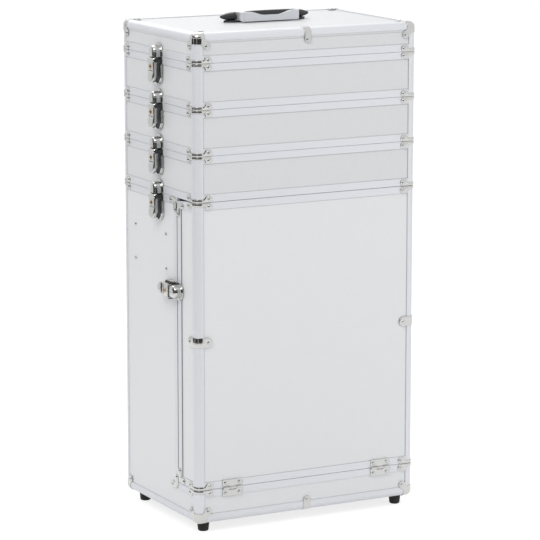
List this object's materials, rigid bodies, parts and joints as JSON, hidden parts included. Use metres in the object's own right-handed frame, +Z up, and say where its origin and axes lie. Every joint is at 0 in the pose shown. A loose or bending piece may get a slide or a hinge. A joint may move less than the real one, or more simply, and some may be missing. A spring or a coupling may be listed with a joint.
{
  "type": "rolling makeup case",
  "caption": "Tall silver trolley case: a lid with a folding handle, stacked lift-off trays with draw latches, and a base with a drop-down front door.",
  "frame": {"origin": "on the floor, under the middle of the box round the whole case with its hinge barrels and wheels", "axes": "+X to the right as seen from the door side, +Y to the back, +Z up"},
  "size_m": [0.4014, 0.2942, 0.7605],
  "materials": {
    "laminate_board": "embossed silver laminate",
    "lining_board": "black lining",
    "profile_aluminium": "satin anodised",
    "tube_aluminium": "satin anodised",
    "chrome": "polished nickel-chrome",
    "black_plastic": "moulded, fine grain",
    "button_plastic": "moulded",
    "bow_silver": "satin silver",
    "foot_rubber": "moulded rubber",
    "wheel_tyre": "moulded tread",
    "wheel_hub": "moulded"
  },
  "bodies": {
    "base": {"base_panels": "laminate_board", "base_floor": "lining_board", "base_fascia": "laminate_board", "base_posts": "profile_aluminium", "base_top_frame": "profile_aluminium", "base_edge_frame": "profile_aluminium", "base_sill_frame": "profile_aluminium", "base_corners": "chrome", "base_runners": "profile_aluminium", "rubber_feet": "foot_rubber", "base_latches": "chrome", "hinge_leaves_lower": "chrome", "hinge_pins": "chrome", "wheel_brackets": "black_plastic", "wheel_axles": "chrome", "trolley_sleeves": "tube_aluminium", "trolley_mounts": "black_plastic"},
    "wheel_left": {"wheel_left_tyre": "wheel_tyre", "wheel_left_hub": "wheel_hub"},
    "wheel_right": {"wheel_right_tyre": "wheel_tyre", "wheel_right_hub": "wheel_hub"},
    "trolley_handle": {"trolley_tubes": "tube_aluminium", "trolley_grip": "black_plastic"},
    "release_button": {"trolley_button": "button_plastic"},
    "door": {"door_panels": "laminate_board", "door_frame": "profile_aluminium", "door_corners": "chrome", "hinge_leaves_upper": "chrome", "door_catches": "chrome"},
    "tray_3": {"tray_3_panels": "laminate_board", "tray_3_frame": "profile_aluminium", "tray_3_corners": "chrome", "tray_3_latches": "chrome"},
    "tray_2": {"tray_2_panels": "laminate_board", "tray_2_frame": "profile_aluminium", "tray_2_corners": "chrome", "tray_2_latches": "chrome"},
    "tray_1": {"tray_1_panels": "laminate_board", "tray_1_frame": "profile_aluminium", "tray_1_corners": "chrome", "tray_1_latches": "chrome"},
    "lid": {"lid_panels": "laminate_board", "lid_frame": "profile_aluminium", "lid_corners": "chrome", "lid_catches": "chrome", "handle_plate": "black_plastic"},
    "carry_handle": {"handle_bow": "bow_silver", "handle_grip": "black_plastic"},
    "lever_tray_1_left": {"lever_tray_1_left": "chrome"},
    "lever_tray_1_right": {"lever_tray_1_right": "chrome"},
    "lever_tray_2_left": {"lever_tray_2_left": "chrome"},
    "lever_tray_2_right": {"lever_tray_2_right": "chrome"},
    "lever_tray_3_left": {"lever_tray_3_left": "chrome"},
    "lever_tray_3_right": {"lever_tray_3_right": "chrome"},
    "lever_base_left": {"lever_base_left": "chrome"},
    "lever_base_right": {"lever_base_right": "chrome"},
    "lever_door_left": {"lever_door_left": "chrome"},
    "lever_door_right": {"lever_door_right": "chrome"}
  },
  "joints": [
    {"name": "door_hinge", "type": "hinge", "parent": "base", "child": "door", "pos_m": [0, -0.1452, 0.066], "axis": [1, 0, 0], "range_deg": [0, 98]},
    {"name": "wheel_left_spin", "type": "hinge", "parent": "base", "child": "wheel_left", "pos_m": [-0.125, 0.1271, 0.022], "axis": [1, 0, 0], "continuous": true},
    {"name": "wheel_right_spin", "type": "hinge", "parent": "base", "child": "wheel_right", "pos_m": [0.125, 0.1271, 0.022], "axis": [1, 0, 0], "continuous": true},
    {"name": "trolley_slide", "type": "slide", "parent": "base", "child": "trolley_handle", "axis": [0, 0, 1], "range_m": [0, 0.38]},
    {"name": "release_press", "type": "slide", "parent": "trolley_handle", "child": "release_button", "axis": [0, 0, -1], "range_m": [0, 0.003], "stiffness_N_per_m": 300, "springref_m": -0.002},
    {"name": "tray_3_lift", "type": "slide", "parent": "base", "child": "tray_3", "axis": [0, 0, 1], "range_m": [0, 0.08]},
    {"name": "tray_2_lift", "type": "slide", "parent": "tray_3", "child": "tray_2", "axis": [0, 0, 1], "range_m": [0, 0.08]},
    {"name": "tray_1_lift", "type": "slide", "parent": "tray_2", "child": "tray_1", "axis": [0, 0, 1], "range_m": [0, 0.08]},
    {"name": "lid_lift", "type": "slide", "parent": "tray_1", "child": "lid", "axis": [0, 0, 1], "range_m": [0, 0.08]},
    {"name": "carry_handle_fold", "type": "hinge", "parent": "lid", "child": "carry_handle", "pos_m": [0, -0.0069, 0.752], "axis": [-1, 0, 0], "range_deg": [0, 90]},
    {"name": "lever_tray_1_left_turn", "type": "hinge", "parent": "tray_1", "child": "lever_tray_1_left", "pos_m": [-0.1952, -0.0239, 0.695], "axis": [0, 1, 0], "range_deg": [0, 90]},
    {"name": "lever_tray_1_right_turn", "type": "hinge", "parent": "tray_1", "child": "lever_tray_1_right", "pos_m": [0.1952, -0.0239, 0.695], "axis": [0, -1, 0], "range_deg": [0, 90]},
    {"name": "lever_tray_2_left_turn", "type": "hinge", "parent": "tray_2", "child": "lever_tray_2_left", "pos_m": [-0.1952, -0.0239, 0.6275], "axis": [0, 1, 0], "range_deg": [0, 90]},
    {"name": "lever_tray_2_right_turn", "type": "hinge", "parent": "tray_2", "child": "lever_tray_2_right", "pos_m": [0.1952, -0.0239, 0.6275], "axis": [0, -1, 0], "range_deg": [0, 90]},
    {"name": "lever_tray_3_left_turn", "type": "hinge", "parent": "tray_3", "child": "lever_tray_3_left", "pos_m": [-0.1952, -0.0239, 0.56], "axis": [0, 1, 0], "range_deg": [0, 90]},
    {"name": "lever_tray_3_right_turn", "type": "hinge", "parent": "tray_3", "child": "lever_tray_3_right", "pos_m": [0.1952, -0.0239, 0.56], "axis": [0, -1, 0], "range_deg": [0, 90]},
    {"name": "lever_base_left_turn", "type": "hinge", "parent": "base", "child": "lever_base_left", "pos_m": [-0.1952, -0.0239, 0.4925], "axis": [0, 1, 0], "range_deg": [0, 90]},
    {"name": "lever_base_right_turn", "type": "hinge", "parent": "base", "child": "lever_base_right", "pos_m": [0.1952, -0.0239, 0.4925], "axis": [0, -1, 0], "range_deg": [0, 90]},
    {"name": "lever_door_left_turn", "type": "hinge", "parent": "base", "child": "lever_door_left", "pos_m": [-0.1952, -0.0769, 0.358], "axis": [0, 0, 1], "range_deg": [0, 90]},
    {"name": "lever_door_right_turn", "type": "hinge", "parent": "base", "child": "lever_door_right", "pos_m": [0.1952, -0.0769, 0.358], "axis": [0, 0, -1], "range_deg": [0, 90]}
  ]
}
